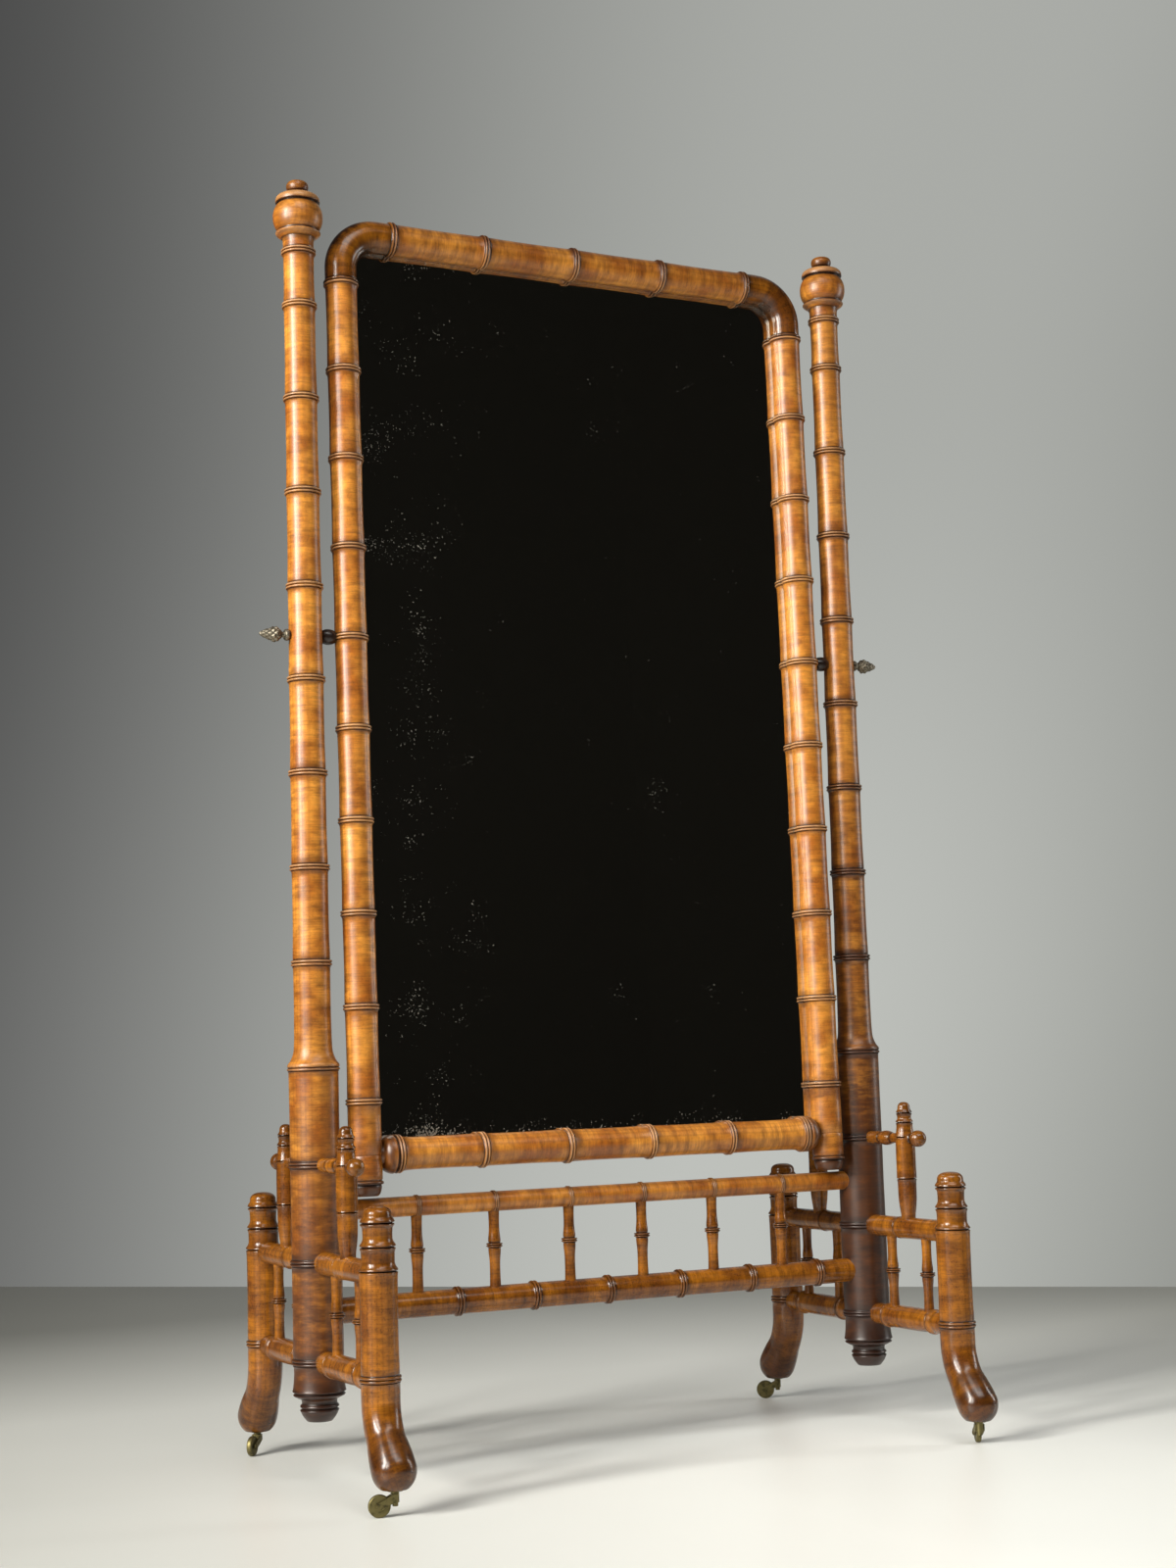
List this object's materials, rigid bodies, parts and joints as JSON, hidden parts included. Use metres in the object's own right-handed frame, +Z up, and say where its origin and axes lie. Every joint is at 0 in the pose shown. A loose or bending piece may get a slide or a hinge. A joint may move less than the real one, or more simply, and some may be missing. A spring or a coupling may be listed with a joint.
{
  "type": "cheval mirror",
  "caption": "Full-length cheval mirror in a turned imitation-bamboo frame, pivoting on brass thumb-screws between ringed posts, on trestle legs with brass casters.",
  "frame": {"origin": "on the floor, midway between the two posts", "axes": "+Z up, the glass faces -Y, the tilt axis runs along X"},
  "size_m": [1.0384, 0.6272, 1.8649],
  "materials": {
    "honey_wood": "french-polished honey-coloured turned wood, near-black in the cut grooves",
    "brown_wood": "french-polished red-brown turned wood, darkened with age",
    "back_wood": "unpolished softwood board",
    "black_wood": "polished near-black turned wood",
    "silvered_glass": "old silvered glass with specks in the silvering",
    "caster_brass": "dull aged brass",
    "antique_brass": "greyed cast brass"
  },
  "bodies": {
    "stand": {"left_post": "honey_wood", "right_post": "honey_wood", "left_finial": "honey_wood", "right_finial": "honey_wood", "front_left_leg": "brown_wood", "rear_left_leg": "brown_wood", "front_right_leg": "brown_wood", "rear_right_leg": "brown_wood", "front_left_upper_rail": "brown_wood", "rear_left_upper_rail": "brown_wood", "front_right_upper_rail": "brown_wood", "rear_right_upper_rail": "brown_wood", "front_left_lower_rail": "brown_wood", "rear_left_lower_rail": "brown_wood", "front_right_lower_rail": "brown_wood", "rear_right_lower_rail": "brown_wood", "left_side_spindles": "brown_wood", "right_side_spindles": "brown_wood", "front_left_spur": "honey_wood", "rear_left_spur": "honey_wood", "front_right_spur": "honey_wood", "rear_right_spur": "honey_wood", "front_left_spur_arm": "brown_wood", "rear_left_spur_arm": "brown_wood", "front_right_spur_arm": "brown_wood", "rear_right_spur_arm": "brown_wood", "front_left_spur_ball": "brown_wood", "rear_left_spur_ball": "brown_wood", "front_right_spur_ball": "brown_wood", "rear_right_spur_ball": "brown_wood", "upper_stretcher": "honey_wood", "lower_stretcher": "brown_wood", "stretcher_spindles": "brown_wood", "caster_plates": "caster_brass", "left_spacer": "black_wood", "right_spacer": "black_wood"},
    "mirror": {"left_stile": "honey_wood", "right_stile": "honey_wood", "left_elbow": "brown_wood", "right_elbow": "brown_wood", "top_rail": "honey_wood", "bottom_rail": "honey_wood", "mirror_glass": "silvered_glass", "backboard": "back_wood", "backboard_screws": "caster_brass", "stile_sockets": "caster_brass"},
    "left_thumb_screw": {"left_thumb_screw": "antique_brass"},
    "right_thumb_screw": {"right_thumb_screw": "antique_brass"},
    "front_left_caster": {"front_left_caster_horn": "caster_brass", "front_left_caster_axle": "caster_brass"},
    "front_left_wheel": {"front_left_caster_wheel": "caster_brass"},
    "rear_left_caster": {"rear_left_caster_horn": "caster_brass", "rear_left_caster_axle": "caster_brass"},
    "rear_left_wheel": {"rear_left_caster_wheel": "caster_brass"},
    "front_right_caster": {"front_right_caster_horn": "caster_brass", "front_right_caster_axle": "caster_brass"},
    "front_right_wheel": {"front_right_caster_wheel": "caster_brass"},
    "rear_right_caster": {"rear_right_caster_horn": "caster_brass", "rear_right_caster_axle": "caster_brass"},
    "rear_right_wheel": {"rear_right_caster_wheel": "caster_brass"}
  },
  "joints": [
    {"name": "mirror_tilt", "type": "hinge", "parent": "stand", "child": "mirror", "pos_m": [0, 0, 1.1875], "axis": [1, 0, 0], "continuous": true},
    {"name": "left_thumb_screw_turn", "type": "hinge", "parent": "stand", "child": "left_thumb_screw", "pos_m": [-0.49, 0, 1.1875], "axis": [-1, 0, 0], "continuous": true},
    {"name": "right_thumb_screw_turn", "type": "hinge", "parent": "stand", "child": "right_thumb_screw", "pos_m": [0.49, 0, 1.1875], "axis": [1, 0, 0], "continuous": true},
    {"name": "front_left_caster_swivel", "type": "hinge", "parent": "stand", "child": "front_left_caster", "pos_m": [-0.44996, -0.28619, 0.025], "axis": [0, 0, 1], "continuous": true},
    {"name": "front_left_wheel_spin", "type": "hinge", "parent": "front_left_caster", "child": "front_left_wheel", "pos_m": [-0.47001, -0.28193, 0.0145], "axis": [-0.2079, -0.9781, 0], "continuous": true},
    {"name": "rear_left_caster_swivel", "type": "hinge", "parent": "stand", "child": "rear_left_caster", "pos_m": [-0.44996, 0.28619, 0.025], "axis": [0, 0, 1], "continuous": true},
    {"name": "rear_left_wheel_spin", "type": "hinge", "parent": "rear_left_caster", "child": "rear_left_wheel", "pos_m": [-0.46314, 0.27049, 0.0145], "axis": [0.766, -0.6428, 0], "continuous": true},
    {"name": "front_right_caster_swivel", "type": "hinge", "parent": "stand", "child": "front_right_caster", "pos_m": [0.44996, -0.28619, 0.025], "axis": [0, 0, 1], "continuous": true},
    {"name": "front_right_wheel_spin", "type": "hinge", "parent": "front_right_caster", "child": "front_right_wheel", "pos_m": [0.45894, -0.26777, 0.0145], "axis": [-0.8988, 0.4384, 0], "continuous": true},
    {"name": "rear_right_caster_swivel", "type": "hinge", "parent": "stand", "child": "rear_right_caster", "pos_m": [0.44996, 0.28619, 0.025], "axis": [0, 0, 1], "continuous": true},
    {"name": "rear_right_wheel_spin", "type": "hinge", "parent": "rear_right_caster", "child": "rear_right_wheel", "pos_m": [0.43221, 0.29644, 0.0145], "axis": [-0.5, -0.866, 0], "continuous": true}
  ]
}
